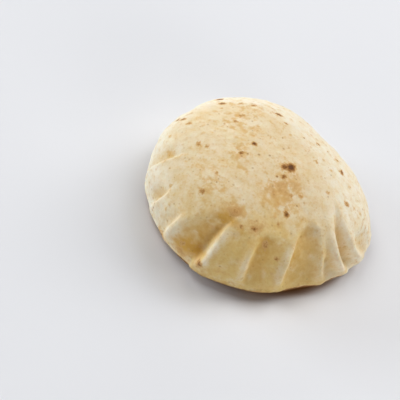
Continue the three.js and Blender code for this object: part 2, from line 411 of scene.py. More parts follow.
    def hollow_along(self, gather: Array, climb: Array, aside: Array) -> Array:
        """Gives how strongly a hollow shows.

        Args:
            gather: number of the gather at each place.
            climb: climb at each place.
            aside: 0 at the hollow's deepest line and 1 at its pleats.

        Returns:
            The share of the hollow's depth.
        """
        seam = self.hollow_values("seam")[gather]
        under = seam * (1.0 - smooth(0.0, self.hollow_under, -climb))
        rise = mix(seam, 1.0, smooth(0.0, self.hollow_values("low")[gather], climb))
        top = self.hollow_values("top")[gather] * (1.0 - self.hollow_values("arch")[gather] * aside**2)
        start = top * mix(self.hollow_soft, self.hollow_abrupt, self.hollow_values("abrupt")[gather])
        return np.where(climb < 0.0, under, rise * (1.0 - smooth(start, top, climb)))

    def skin(self, gather: Array, share: Array, climb: Array) -> tuple[Array, dict[str, Array]]:
        """Finds points of the finished skin.

        Args:
            gather: number of the gather at each place.
            share: how far across the gather each place lies, from 0 to 1.
            climb: climb at each place.

        Returns:
            The points, and named facts about each of them for the crust's finish.
        """
        here = self.path(gather, climb)
        after = self.path(gather, climb, 1)
        azimuth = mix(here, after, share)
        point = self.base_skin(climb, azimuth)
        normal = self.base_normal(climb, azimuth)
        degree = math.radians(1.0) * np.hypot(
            point[..., 0] - self.seam_centre[0], point[..., 1] - self.seam_centre[1]
        )
        top = self.hollow_values("top")[gather]
        drift = self.hollow_values("drift")[gather] * np.clip(climb / top, 0.0, 1.0)
        deepest = self.hollow_values("deepest")[gather] + drift
        aside = np.where(share < deepest, 1.0 - share / deepest, (share - deepest) / (1.0 - deepest))
        from_pleat = (azimuth - here) * degree
        to_next = (after - azimuth) * degree
        rounded = 1.0 - bump(from_pleat, self.pleat_rounding) - bump(to_next, self.pleat_rounding)
        across = (1.0 - aside ** self.hollow_values("flat")[gather]) ** self.hollow_values("narrow")[gather]
        along = np.clip(rounded, 0.0, 1.0) * self.hollow_along(gather, climb, aside)
        sunk = self.hollow_values("depth")[gather] * across * along
        risen = smooth(self.crest_low, self.crest_high, climb)
        raised = np.zeros_like(sunk)
        for shift, distance in ((0, from_pleat), (1, to_next)):
            reach = self.pleat_values("reach", shift)[gather]
            left = risen * (1.0 - smooth(reach * self.crest_end, reach, climb))
            height = self.pleat_values("crest", shift)[gather]
            raised += height * bump(distance, self.pleat_values("half", shift)[gather]) * left
        for rib in self.ribs:
            left = risen * (1.0 - smooth(rib.reach * self.rib_end, rib.reach, climb))
            raised += rib.height * bump((azimuth - rib.azimuth) * degree, rib.half) * left
        out = raised - sunk
        lip = self.lip_height * bump(point[..., 2] - self.seam_height, self.lip_half)
        out += np.where(np.abs(climb) < self.lip_gone, lip, 0.0)
        for wave, phase in self.swell_waves:
            out += self.swells.height * np.sin(point @ wave + phase)
        point = point + normal * (out * self.relief_left(climb))[..., None]
        point[..., 2] = np.maximum(point[..., 2], 0.0)
        facts = {
            "sunk": sunk,
            "raised": raised,
            "climb": climb,
            "azimuth": np.mod(azimuth, 360.0),
            "normal": normal,
        }
        return point, facts


# ---------------- the mesh of the skin


class Side(Enum):
    """The two sides of the seam."""

    CROWN = 1
    BASE = -1


@dataclass(frozen=True)
class Band:
    """Rows of facets that end at one climb, with every keep-th of the columns."""

    end: float
    rows: int
    keep: int


class Skin:
    """The finished skin as a closed set of facets, with facts about each of its points.

    Lengths are in mm. The points are added ring by ring, from the seam to both poles.
    """

    def __init__(self, form: PuffedForm) -> None:
        """Starts an empty skin of one form.

        Args:
            form: the form that its points follow.
        """
        self.form = form
        self.points = np.empty((0, 3))
        self.facts: dict[str, Array] = {}
        self.faces: list[tuple[int, int, int]] = []

    def add_ring(self, gathers: Array, shares: Array, climb: float) -> Array:
        """Adds the points of one ring.

        Args:
            gathers: the gather of each point.
            shares: each point's share of the way across its gather.
            climb: the ring's climb.

        Returns:
            The numbers of the ring's points.
        """
        points, facts = self.form.skin(gathers, shares, np.full(len(gathers), climb))
        first = len(self.points)
        self.points = np.concatenate([self.points, points])
        for name, values in facts.items():
            known = self.facts.get(name, values[:0])
            self.facts[name] = np.concatenate([known, values])
        return np.arange(first, len(self.points))

    def add_faces(self, a: Array, b: Array, c: Array, side: Side) -> None:
        """Adds triangles, turned so that they point out."""
        corners = (a, b, c) if side is Side.CROWN else (a, c, b)
        self.faces.extend(zip(*(corner.tolist() for corner in corners), strict=True))

    def join(self, fine: Array, coarse: Array, side: Side) -> None:
        """Joins two rings, the second of which has a point for each one or more of the first.

        Args:
            fine: point numbers of the ring with more points.
            coarse: point numbers of the ring with as many or fewer.
            side: the side of the seam, which says which way the faces turn.
        """
        ratio = len(fine) // len(coarse)
        middle = -(-ratio // 2)
        following = np.roll(fine, -1)
        after = np.roll(coarse, -1)
        for m in range(ratio):
            a = fine[m::ratio]
            b = following[m::ratio]
            self.add_faces(a, b, coarse if m < middle else after, side)
            if m == middle - 1:
                self.add_faces(b, after, coarse, side)

    def nearest(self, climb: float, azimuth: float) -> int:
        """Finds the point that lies nearest to a climb and an azimuth."""
        around = turned(self.facts["azimuth"], azimuth) / QUARTER_TURN * (1.0 - abs(climb))
        return int(np.argmin(np.hypot(self.facts["climb"] - climb, around)))


@dataclass(frozen=True)
class SkinWeave:
    """Lays the form out as rings of points, fine enough to carry blisters on the crown.

    The discs are where the flattened crown and base lie on the map: centre and radius.
    """

    columns_a_degree: float = 1.9
    fewest_columns: int = 4
    coarsest: int = 16
    crown_bands: tuple[Band, ...] = (
        Band(0.60, 94, 1),
        Band(0.82, 34, 2),
        Band(0.92, 15, 4),
        Band(0.97, 7, 8),
        Band(0.992, 3, 16),
    )
    base_bands: tuple[Band, ...] = (
        Band(-0.12, 12, 1),
        Band(-0.55, 22, 2),
        Band(-0.78, 12, 4),
        Band(-0.90, 6, 8),
        Band(-0.97, 4, 16),
    )
    crown_disc: tuple[float, float, float] = (0.375, 0.375, 0.365)
    base_disc: tuple[float, float, float] = (0.79, 0.79, 0.2)

    def columns(self, form: PuffedForm) -> tuple[Array, Array]:
        """Sets out the columns, as many in each gather as its width asks for.

        Args:
            form: the form to lay out.

        Returns:
            The gather of each column, and its share of the way across.
        """
        numbers = np.arange(len(form.pleats))
        seam = np.zeros(len(form.pleats))
        widths = form.path(numbers, seam, 1) - form.path(numbers, seam)
        counts = np.round(widths * self.columns_a_degree).astype(int)
        counts = np.maximum(self.fewest_columns, counts)
        counts[np.argmax(widths)] += -counts.sum() % self.coarsest
        gathers = np.repeat(numbers, counts)
        shares = np.concatenate([np.arange(count) / count for count in counts])
        return gathers, shares

    def lay(self, form: PuffedForm) -> Skin:
        """Lays out both sides of the seam and closes them at the poles.

        Args:
            form: the form to lay out.

        Returns:
            The closed skin.
        """
        gathers, shares = self.columns(form)
        skin = Skin(form)
        seam = skin.add_ring(gathers, shares, 0.0)
        for side, bands in ((Side.CROWN, self.crown_bands), (Side.BASE, self.base_bands)):
            ring = seam
            start = 0.0
            for band in bands:
                for row in range(1, band.rows + 1):
                    climb = mix(start, band.end, row / band.rows)
                    following = skin.add_ring(gathers[:: band.keep], shares[:: band.keep], climb)
                    skin.join(ring, following, side)
                    ring = following
                start = band.end
            pole = skin.add_ring(gathers[:1], shares[:1], float(side.value))
            skin.add_faces(ring, np.roll(ring, -1), np.repeat(pole, len(ring)), side)
        return skin

    def make_mesh(self, name: str, skin: Skin) -> bpy.types.Mesh:
        """Makes the mesh, with a map that keeps lengths along the climb.

        Args:
            name: the mesh's name.
            skin: the skin to make.

        Returns:
            The mesh, in metres.
        """
        mesh = bpy.data.meshes.new(name)
        mesh.from_pydata((skin.points * MM).tolist(), [], skin.faces)
        mesh.shade_smooth()
        corners = np.empty(len(mesh.loops), dtype=np.int32)
        mesh.loops.foreach_get("vertex_index", corners)
        faces = corners.reshape(-1, 3)
        climb = skin.facts["climb"][faces]
        turn = np.radians(skin.facts["azimuth"][faces])
        under = climb.min(axis=1, keepdims=True) < 0.0
        out = 1.0 - np.abs(climb)
        x, y, size = (np.where(under, b, a) for a, b in zip(self.crown_disc, self.base_disc, strict=True))
        u = x + size * out * np.cos(turn) * np.where(under, -1.0, 1.0)
        v = y + size * out * np.sin(turn)
        layer = mesh.uv_layers.new(name="OFBake")
        layer.uv.foreach_set("vector", np.stack([u, v], -1).astype(np.float32).ravel())
        return mesh


# ---------------- what the oven did, and painted shade and highlights


@dataclass(frozen=True)
class Mark:
    """A marked place: its climb and azimuth, and its half size across and along the climb in mm.

    strength is 1 for a full mark. Above 1, more of its middle is full.
    """

    climb: float
    azimuth: float
    across: float
    along: float
    strength: float


@dataclass(frozen=True)
class MarkRule:
    """The limits within which marks are drawn for a part of the skin."""

    count: int
    climb: Span
    azimuth: Span
    size: Span
    strength: Span
    seed: int
    widest: float = 1.3
    lowest: float = 0.8

    def draw(self) -> list[Mark]:
        """Draws the marks, small weak ones more often than large strong ones.

        Returns:
            The marks.
        """
        number = draws(self.seed)
        marks = []
        for _ in range(self.count):
            climb = mix(*self.climb, next(number))
            azimuth = mix(*self.azimuth, next(number))
            share = next(number) ** 2
            across = mix(*self.size, share) * mix(1.0, self.widest, next(number))
            along = mix(*self.size, share) * mix(1.0, self.lowest, next(number))
            marks.append(Mark(climb, azimuth, across, along, mix(*self.strength, share)))
        return marks


def as_marks(*rows: tuple[float, ...]) -> tuple[Mark, ...]:
    """Makes a mark of each row of numbers."""
    return tuple(Mark(*row) for row in rows)


# Each mark's climb, azimuth, across, along and strength, in all four tables.
SCORCHES = as_marks(
    (0.827, 346, 3.3, 2.5, 1.05), (0.848, 338, 3.0, 2.1, 0.84), (0.795, 324, 1.9, 1.7, 0.66),
    (0.978, 195, 1.7, 1.6, 0.80), (0.893, 237, 1.6, 1.7, 0.72), (0.676, 89, 2.3, 1.7, 0.82),
    (0.729, 77, 1.9, 1.2, 0.55), (0.558, 245, 2.0, 1.8, 0.62), (0.571, 308, 1.8, 2.0, 0.78),
    (0.560, 270, 3.0, 1.6, 0.46), (0.479, 284, 2.2, 1.8, 0.56), (0.368, 292, 1.8, 2.2, 0.50),
    (0.276, 297, 1.5, 1.7, 0.46), (0.479, 276, 1.5, 1.5, 0.40), (0.079, 259, 2.2, 1.8, 0.62),
    (0.092, 247, 1.9, 1.9, 0.46), (0.512, 22, 2.1, 1.7, 0.68), (0.506, 34, 1.4, 1.4, 0.58),
    (0.460, 358, 1.6, 2.2, 0.56), (0.598, 352, 1.3, 1.2, 0.42), (0.703, 19, 1.3, 1.6, 0.42),
    (0.768, 130, 2.2, 1.3, 0.52), (0.801, 146, 1.6, 1.5, 0.54), (0.558, 178, 1.6, 2.2, 0.52),
    (0.460, 171, 1.4, 1.9, 0.66), (0.460, 135, 2.4, 1.8, 0.90), (0.670, 203, 2.0, 1.6, 0.50),
    (0.722, 208, 1.4, 1.3, 0.44), (0.703, 242, 1.3, 1.2, 0.50), (0.381, 226, 1.2, 1.4, 0.44),
    (0.676, 320, 1.5, 1.4, 0.52), (0.775, 306, 1.3, 1.2, 0.42), (0.657, 328, 1.3, 1.3, 0.42),
    (0.519, 300, 1.3, 1.2, 0.40), (0.204, 337, 1.3, 3.0, 0.42),
)

FLUSHES = as_marks(
    (0.800, 142, 13, 8, 0.60), (0.900, 120, 10, 6, 0.40), (0.888, 240, 6, 6, 0.50),
    (0.710, 313, 12, 9, 0.92), (0.640, 310, 9, 6, 0.80), (0.663, 246, 12, 7, 0.50),
    (0.562, 271, 4.6, 3.2, 1.80), (0.480, 285, 4, 3.5, 1.20), (0.370, 291, 3.5, 4, 1.10),
    (0.400, 321, 6, 9, 0.45), (0.035, 247, 9, 3.5, 0.90), (0.060, 259, 4, 3.5, 1.30),
    (0.120, 268, 8, 6, 0.40), (0.520, 207, 7, 5, 0.50), (0.360, 232, 8, 5, 0.35),
    (0.360, 292, 4, 6, 0.45), (0.620, 35, 16, 12, 0.25),
)

# Golden-orange marks, partly toast spots and partly painted shade in the big fold and the front valleys.
GILT_AND_FOLD_SHADE = as_marks(
    (0.078, 248, 6, 4, 1.00), (0.110, 251, 7, 4.5, 1.20), (0.290, 251, 9, 8, 0.40),
    (0.504, 267, 6, 5, 0.90), (0.460, 262, 9, 7, 0.45), (0.570, 273, 6, 4, 0.60),
    (0.570, 250, 4, 3, 0.40), (0.430, 275, 5, 4, 0.65), (0.380, 291, 4, 5, 0.85),
    (0.320, 290, 4, 4, 0.50), (0.870, 250, 7, 5, 0.50), (0.430, 317, 5, 8, 0.40),
    (0.690, 308, 7, 6, 0.75), (0.640, 298, 6, 5, 0.60), (0.250, 308, 5, 10, 0.40),
    (0.450, 206, 4, 3, 0.60),
)

# Paler marks: on the front they are painted highlights on the lit ridges and banks, elsewhere paler crust.
PALINGS_AND_HIGHLIGHTS = as_marks(
    (0.370, 268, 2.5, 5, 1.20), (0.290, 265.5, 2.5, 5, 1.60), (0.210, 263.5, 2.5, 5, 1.70),
    (0.130, 262, 2.5, 5, 1.50), (0.530, 288, 8, 5, 0.60), (0.240, 243, 4, 7, 0.90),
    (0.320, 354, 4, 8, 0.60), (0.340, 340, 3, 7, 0.50), (0.480, 222, 6, 8, 0.35),
    (0.560, 334, 7, 6, 0.60), (0.860, 60, 14, 14, 0.55), (0.420, 170, 12, 12, 0.50),
)

FREE_SCORCHES = (
    MarkRule(30, (0.10, 0.68), (35, 176), (0.9, 2.3), (0.36, 0.80), 11),
    MarkRule(46, (-0.95, -0.1), (0, 360), (1.2, 4.6), (0.34, 0.78), 23),
)

FREE_FLUSHES = (
    MarkRule(9, (0.25, 0.95), (95, 200), (5.0, 13.0), (0.25, 0.60), 37),
    MarkRule(24, (-1.0, -0.2), (0, 360), (6.0, 15.0), (0.30, 0.95), 41),
)


class Tone(Enum):
    """The attributes that tell the finish what happened to each place of the crust, and where shade and
    highlights are painted on it.
    """

    TOAST = "toast"
    SCORCH = "scorch"
    HOLLOW_SHADE = "hollow"
    GILT_AND_SHADE = "gild"
    RIDGE_PALE_AND_HIGHLIGHT = "ridge"
    FRONT_SHADE = "gold"
    PALE = "pale"
    UNDERSIDE_AND_SHADE = "under"
    RELIEF = "relief"
    PUCKER = "pucker"
    BLISTER = "blister"
    WALL = "wall"


@dataclass(frozen=True)
class Toasting:
    """Works out how toasted, scorched, golden and pale each place of the skin is, and where shade and
    highlights are painted.

    A side is an azimuth, and half is how far it reaches in degrees. The pairs are climbs on the crown or
    on the base, between which a tone comes or goes.
    """

    soft_edge: float = 2.0
    scorch_edge: float = 2.3
    fall: float = 0.7
    deep: float = 2.0
    crown_toast: float = 0.22
    crown_toasted: Span = (0.35, 0.95)
    base_toast: float = 0.28
    base_toasted: Span = (0.1, 0.6)
    # At this depth in mm the painted shade in a hollow is full.
    full_hollow_shade: float = 4.2
    full_ridge: float = 1.6
    # Around this side, the front wall, warm shade is painted on as gold, fading up the crown and taking the
    # pale away.
    front_shade_side: float = 288.0
    front_shade_half: float = 46.0
    front_shade_gone: Span = (0.2, 0.85)
    front_shade_not_pale: float = 0.85
    pale_reach: Span = (0.55, 0.95)
    pale_fade: float = 0.4
    pale_side: float = 60.0
    pale_half: float = 100.0
    # The underside is toasted dark brown everywhere. On the front side it is full and rises a little above
    # the seam, as painted shade under the rim.
    under_shade_side: float = 292.0
    under_shade_half: float = 60.0
    under_elsewhere: float = 0.6
    under_full: float = 0.06
    under_shade_rise: float = 0.055
    under_shade_rise_half: float = 26.0
    relief_gone: Span = (0.0, 0.5)
    pucker_gone: Span = (0.1, 0.5)
    wall_stretch: float = 16.0

    def spread(self, skin: Skin, marks: Iterable[Mark], edge: float) -> Array:
        """Lays marks on the skin.

        Args:
            skin: the skin they lie on.
            marks: the marks.
            edge: 2 for soft marks, and more for marks with a clearer edge.

        Returns:
            How strong the strongest mark is at each point.
        """
        strongest = np.zeros(len(skin.points))
        for mark in marks:
            centre = skin.nearest(mark.climb, mark.azimuth)
            away = skin.points - skin.points[centre]
            normal = skin.facts["normal"][centre]
            turn = math.radians(mark.azimuth)
            across = np.array([-math.sin(turn), math.cos(turn), 0.0])
            along = np.cross(normal, across)
            along /= np.linalg.norm(along)
            through = away @ normal / (self.deep * max(mark.across, mark.along))
            size = (away @ across / mark.across) ** 2 + (away @ along / mark.along) ** 2 + through**2
            strongest = np.maximum(strongest, mark.strength * np.exp(-self.fall * size ** (edge / 2.0)))
        return strongest

    def tones(self, skin: Skin) -> dict[Tone, Array]:
        """Works out every tone.

        Args:
            skin: the skin.

        Returns:
            For each tone a value for each point, and for the wall three coordinates in metres.
        """
        climb = skin.facts["climb"]
        azimuth = skin.facts["azimuth"]
        flushes = [*FLUSHES, *(mark for rule in FREE_FLUSHES for mark in rule.draw())]
        scorches = [*SCORCHES, *(mark for rule in FREE_SCORCHES for mark in rule.draw())]
        toast = self.spread(skin, flushes, self.soft_edge)
        toast += self.crown_toast * smooth(*self.crown_toasted, climb)
        toast += self.base_toast * smooth(*self.base_toasted, -climb)
        pale_and_highlit = self.spread(skin, PALINGS_AND_HIGHLIGHTS, self.soft_edge)
        gilt_and_shade = self.spread(skin, GILT_AND_FOLD_SHADE, self.soft_edge)
        # Paler crests: partly floury crust, partly painted highlight where light catches them.
        ridge = np.clip(skin.facts["raised"] / self.full_ridge, 0.0, 1.0)
        # Painted warm shade on the front wall.
        golden = bump(turned(azimuth, self.front_shade_side), self.front_shade_half)
        reach = mix(*self.pale_reach, bump(turned(azimuth, self.pale_side), self.pale_half))
        pale = 1.0 - smooth(reach - self.pale_fade, reach, climb)
        # Toasted underside, darker on the front, where it rises above the seam as painted shade under the
        # rim.
        aside = turned(azimuth, self.under_shade_side)
        under = smooth(-self.under_shade_rise * bump(aside, self.under_shade_rise_half), self.under_full, -climb)
        relief = 1.0 - smooth(*self.relief_gone, -climb)
        turn = np.radians(azimuth)
        radius = skin.form.seam_radius
        wall = [radius * np.cos(turn), radius * np.sin(turn), self.wall_stretch * climb]
        return {
            Tone.TOAST: toast,
            Tone.SCORCH: self.spread(skin, scorches, self.scorch_edge),
            # Painted shade in the hollows, darker and more golden the deeper they are, partly the less
            # floury crust there.
            Tone.HOLLOW_SHADE: np.clip(skin.facts["sunk"] / self.full_hollow_shade, 0.0, 1.0),
            # Golden-orange marks, partly painted shade in the folds, except where the paler marks lie.
            Tone.GILT_AND_SHADE: gilt_and_shade * (1.0 - np.clip(pale_and_highlit, 0.0, 1.0)),
            Tone.FRONT_SHADE: golden * (1.0 - smooth(*self.front_shade_gone, np.abs(climb))),
            Tone.PALE: np.clip(pale * (1.0 - self.front_shade_not_pale * golden), 0.0, 1.0),
            Tone.RIDGE_PALE_AND_HIGHLIGHT: np.maximum(np.where(climb > 0.0, ridge, 0.0), pale_and_highlit),
            Tone.UNDERSIDE_AND_SHADE: under * mix(self.under_elsewhere, 1.0, bump(aside, self.under_shade_half)),
            Tone.RELIEF: relief,
            Tone.PUCKER: relief * (1.0 - smooth(*self.pucker_gone, climb)),
            Tone.WALL: np.stack(wall, -1) * MM,
        }

    def mark_mesh(self, mesh: bpy.types.Mesh, skin: Skin) -> None:
        """Writes the tones to the mesh as attributes of its points.

        Args:
            mesh: the mesh of the skin.
            skin: the skin it was made from.
        """
        for tone, values in self.tones(skin).items():
            kind, field_name = ("FLOAT_VECTOR", "vector") if values.ndim == 2 else ("FLOAT", "value")
            attribute = mesh.attributes.new(tone.value, kind, "POINT")
            attribute.data.foreach_set(field_name, values.astype(np.float32).ravel())


# ---------------- nodes


class Blend(Enum):
    """How a colour meets the one under it."""

    COVER = "MIX"
    STAIN = "MULTIPLY"


class NodeBench:
    """Places nodes in one tree, sets their inputs and joins them."""

    def __init__(self, tree: bpy.types.NodeTree) -> None:
        """Clears the tree."""
        self.tree = tree
        tree.nodes.clear()

    def feed(self, socket: Socket, value: object) -> None:
        """Joins a socket to another one, or sets its value.

        Args:
            socket: the input to feed.
            value: another node's output, or a plain value.
        """
        if isinstance(value, Socket):
            self.tree.links.new(value, socket)
        else:
            socket.default_value = value

    def add(self, kind: str, inputs: dict[str, object] | None = None, **settings: object) -> bpy.types.Node:
        """Adds a node.

        Args:
            kind: the node's type.
            inputs: a socket to join or a value to set, for each named input.
            **settings: the node's own settings.

        Returns:
            The node.
        """
        node = self.tree.nodes.new(kind)
        for name, value in settings.items():
            setattr(node, name, value)
        for name, value in (inputs or {}).items():
            self.feed(next(s for s in node.inputs if s.name == name and s.enabled), value)
        return node

    def get(self, kind: str, inputs: dict[str, object] | None = None, **settings: object) -> Socket:
        """Adds a node and gives its first live output."""
        return next(s for s in self.add(kind, inputs, **settings).outputs if s.enabled)

    def math(self, operation: str, *values: object) -> Socket:
        """Adds a sum of numbers and gives its result.

        Args:
            operation: the sum's kind.
            *values: a socket or a number for each input.

        Returns:
            The result.
        """
        node = self.add("ShaderNodeMath", operation=operation)
        for socket, value in zip(node.inputs, values, strict=False):
            self.feed(socket, value)
        return node.outputs["Value"]

    def vector(self, operation: str, **inputs: object) -> Socket:
        """Adds a sum of vectors, with a for its first input, b for its second and scale for its scale.

        Args:
            operation: the sum's kind.
            **inputs: a socket or a value for each of those inputs.

        Returns:
            The result, which is a number for a distance.
        """
        node = self.add("ShaderNodeVectorMath", operation=operation)
        places = {"a": 0, "b": 1, "scale": "Scale"}
        for name, value in inputs.items():
            self.feed(node.inputs[places[name]], value)
        return next(s for s in node.outputs if s.enabled)

    def ramp(self, value: Socket, low: float, high: float, start: float = 0.0, end: float = 1.0) -> Socket:
        """Adds a soft rise from start at low to end at high, and gives its result."""
        inputs = {"Value": value, "From Min": low, "From Max": high, "To Min": start, "To Max": end}
        return self.get("ShaderNodeMapRange", inputs, interpolation_type="SMOOTHSTEP")

    def noise(self, place: Socket, size: object, detail: float) -> Socket:
        """Adds a cloudy pattern and gives its value.

        Args:
            place: coordinates in metres.
            size: size of the clouds in mm, or a socket in metres.
            detail: how many finer layers lie on it.

        Returns:
            The value, mostly from 0.3 to 0.7.
        """
        metres = isinstance(size, Socket)
        scale = self.math("DIVIDE", 1.0, size) if metres else 1.0 / (size * MM)
        return self.get("ShaderNodeTexNoise", {"Vector": place, "Scale": scale, "Detail": detail})

    def disturb(self, value: Socket, cloud: Socket, share: float) -> Socket:
        """Breaks a value up with clouds, and gives the result."""
        return self.math("MULTIPLY_ADD", self.math("SUBTRACT", cloud, 0.5), share, value)

    def lay(self, share: Socket, under: object, colour: Colour, blend: Blend) -> Socket:
        """Lays a colour over another one, and gives the result."""
        inputs = {"Factor": share, "A": under, "B": (*colour, 1.0)}
        return self.get("ShaderNodeMix", inputs, data_type="RGBA", blend_type=blend.value)

    def end_material(self, **inputs: object) -> None:
        """Ends a material's tree in one shader. Its inputs are named with _ for a space.

        Args:
            **inputs: a socket or a value for each named input of the shader.
        """
        named = {name.replace("_", " "): value for name, value in inputs.items()}
        shader = self.get("ShaderNodeBsdfPrincipled", named)
        self.add("ShaderNodeOutputMaterial", {"Surface": shader})


def start_material(name: str) -> tuple[bpy.types.Material, NodeBench]:
    """Makes an empty material, and gives its bench too.

    Args:
        name: the material's name.

    Returns:
        The material, and the bench of its tree.
    """
    material = bpy.data.materials.new(name)
    material.use_nodes = True
    return material, NodeBench(material.node_tree)


# ---------------- the crust's relief


@dataclass(frozen=True)
class CrustRelief:
    """Raises blisters, puckers and grain on the skin with Geometry Nodes. Sizes are in mm."""

    blister_spacing: float = 4.6
    blister_half: float = 2.1
    blister_height: float = 0.24
    blister_wobble: float = 1.1
    wobble_size: float = 1.6
    wobble_detail: float = 2.0
    blisters_a_square_metre: float = 120000.0
    blister_rarity: float = 2.5
    smallest_blister: float = 0.3
    lowest_blister: float = 0.25
    scorch_height: float = 0.22
    pucker_size: float = 3.4
    pucker_height: float = 0.2
    pucker_detail: float = 2.0
    lump_size: float = 9.0
    lump_height: float = 0.26
    lump_detail: float = 1.0
    grain_size: float = 2.6
    grain_height: float = 0.09
    grain_detail: float = 3.0
    cloud_gain: float = 4.0
    seed: int = 7

    def lengths(self) -> dict[str, float]:
        """Lists the tree's inputs that are lengths, in metres.

        Returns:
            For each input's name its length.
        """
        names = ("blister_spacing", "blister_half", "blister_height", "blister_wobble", "scorch_height")
        sizes = (f"{wave}_{size}" for wave in ("pucker", "lump", "grain") for size in ("size", "height"))
        return {name.replace("_", " ").title(): getattr(self, name) * MM for name in (*names, *sizes)}

    def make_tree(self) -> bpy.types.NodeTree:
        """Builds the tree.

        Returns:
            The tree, whose inputs are the skin, the lengths, the seed and the finish.
        """
        tree = bpy.data.node_groups.new("crust relief", "GeometryNodeTree")
        sockets = {name: "Float" for name in self.lengths()}
        sockets = {"Skin": "Geometry", **sockets, "Seed": "Int", "Finish": "Material"}
        tree.interface.new_socket("Crust", in_out="OUTPUT", socket_type="NodeSocketGeometry")
        for name, kind in sockets.items():
            tree.interface.new_socket(name, in_out="INPUT", socket_type=f"NodeSocket{kind}")
        bench = NodeBench(tree)
        given = bench.add("NodeGroupInput").outputs
        place = bench.get("GeometryNodeInputPosition")
        blister = self.add_blisters(bench, given, place)
        wall = self.tone(bench, Tone.WALL)
        pucker = self.add_waves(bench, wall, given, "Pucker", self.pucker_detail)
        heights = [
            bench.math("MULTIPLY", self.tone(bench, Tone.SCORCH), given["Scorch Height"]),
            bench.math("MULTIPLY", pucker, self.tone(bench, Tone.PUCKER)),
            self.add_waves(bench, place, given, "Grain", self.grain_detail),
            self.add_waves(bench, place, given, "Lump", self.lump_detail),
        ]
        total = bench.math("MULTIPLY", blister, given["Blister Height"])
        for height in heights:
            total = bench.math("ADD", total, height)
        total = bench.math("MULTIPLY", total, self.tone(bench, Tone.RELIEF))
        offset = bench.vector("SCALE", a=bench.get("GeometryNodeInputNormal"), scale=total)
        kept = {"Geometry": given["Skin"], "Name": Tone.BLISTER.value, "Value": blister}
        stored = bench.get("GeometryNodeStoreNamedAttribute", kept, data_type="FLOAT", domain="POINT")
        moved = bench.get("GeometryNodeSetPosition", {"Geometry": stored, "Offset": offset})
        real = bench.get("GeometryNodeRealizeInstances", {"Geometry": moved})
        dressed = bench.get("GeometryNodeSetMaterial", {"Geometry": real, "Material": given["Finish"]})
        bench.add("NodeGroupOutput", {"Crust": dressed})
        return tree

    def tone(self, bench: NodeBench, tone: Tone) -> Socket:
        """Reads one tone of the skin."""
        kind = "FLOAT_VECTOR" if tone is Tone.WALL else "FLOAT"
        return bench.get("GeometryNodeInputNamedAttribute", {"Name": tone.value}, data_type=kind)

    def add_blisters(self, bench: NodeBench, given: bpy.types.NodeOutputs, place: Socket) -> Socket:
        """Scatters blisters and works out how far up the nearest one each point is.

        Args:
            bench: the tree's bench.
            given: the tree's inputs.
            place: the position of each point.

        Returns:
            0 beside a blister, and up to 1 on its top.
        """
        rule = {
            "Mesh": given["Skin"],
            "Distance Min": given["Blister Spacing"],
            "Density Max": self.blisters_a_square_metre,
            "Density Factor": self.tone(bench, Tone.RELIEF),
            "Seed": given["Seed"],
        }
        scattered = bench.get("GeometryNodeDistributePointsOnFaces", rule, distribute_method="POISSON")
        cloud = {"Vector": place, "Scale": 1.0 / (self.wobble_size * MM), "Detail": self.wobble_detail}
        bent = bench.add("ShaderNodeTexNoise", cloud).outputs["Color"]
        centred = bench.vector("SUBTRACT", a=bent, b=(0.5, 0.5, 0.5))
        shift = bench.vector("SCALE", a=centred, scale=given["Blister Wobble"])
        here = bench.vector("ADD", a=place, b=shift)
        where = {"Geometry": scattered, "Sample Position": here}
        index = bench.get("GeometryNodeSampleNearest", where, domain="POINT")
        nearest = {"Geometry": scattered, "Index": index}
        centre = self.sample(bench, nearest, place, "FLOAT_VECTOR")
        drawn = bench.get("FunctionNodeRandomValue", {"Seed": given["Seed"]}, data_type="FLOAT")
        share = self.sample(bench, nearest, bench.math("POWER", drawn, self.blister_rarity), "FLOAT")
        size = bench.ramp(share, 0.0, 1.0, self.smallest_blister)
        half = bench.math("MULTIPLY", given["Blister Half"], size)
        away = bench.vector("DISTANCE", a=here, b=centre)
        up = bench.ramp(bench.math("DIVIDE", away, half), 1.0, 0.0)
        return bench.math("MULTIPLY", up, bench.ramp(share, 0.0, 1.0, self.lowest_blister))

    def sample(self, bench: NodeBench, nearest: dict[str, Socket], value: Socket, kind: str) -> Socket:
        """Reads a value at the nearest of the scattered points."""
        inputs = {**nearest, "Value": value}
        return bench.get("GeometryNodeSampleIndex", inputs, data_type=kind, domain="POINT")

    def add_waves(
        self, bench: NodeBench, place: Socket, given: bpy.types.NodeOutputs, name: str, detail: float
    ) -> Socket:
        """Adds cloudy ups and downs with the size and height that two of the tree's inputs give.

        Args:
            bench: the tree's bench.
            place: coordinates in metres.
            given: the tree's inputs.
            name: what the two inputs' names start with.
            detail: how many finer layers lie on the clouds.

        Returns:
            The height of each point, in metres.
        """
        cloud = bench.noise(place, given[f"{name} Size"], detail)
        centred = bench.math("MULTIPLY_ADD", cloud, self.cloud_gain, -self.cloud_gain / 2.0)
        return bench.math("MULTIPLY", centred, given[f"{name} Height"])

    def apply(self, piece: bpy.types.Object, finish: bpy.types.Material) -> None:
        """Runs the tree on a piece, and keeps the result as its plain mesh.

        Args:
            piece: the piece, whose mesh holds the tones.
            finish: the material it ends in.
        """
        tree = self.make_tree()
        modifier = piece.modifiers.new("crust relief", "NODES")
        modifier.node_group = tree
        sockets = [item for item in tree.interface.items_tree if item.in_out == "INPUT"]
        identifiers = {socket.name: socket.identifier for socket in sockets}
        for name, value in {**self.lengths(), "Seed": self.seed, "Finish": finish}.items():
            modifier[identifiers[name]] = value
        depsgraph = bpy.context.evaluated_depsgraph_get()
        raised = bpy.data.meshes.new_from_object(
            piece.evaluated_get(depsgraph), preserve_all_data_layers=True, depsgraph=depsgraph
        )
        piece.modifiers.remove(modifier)
        smooth_mesh = piece.data
        piece.data = raised
        bpy.data.meshes.remove(smooth_mesh)
        raised.name = piece.name


# ---------------- finishes


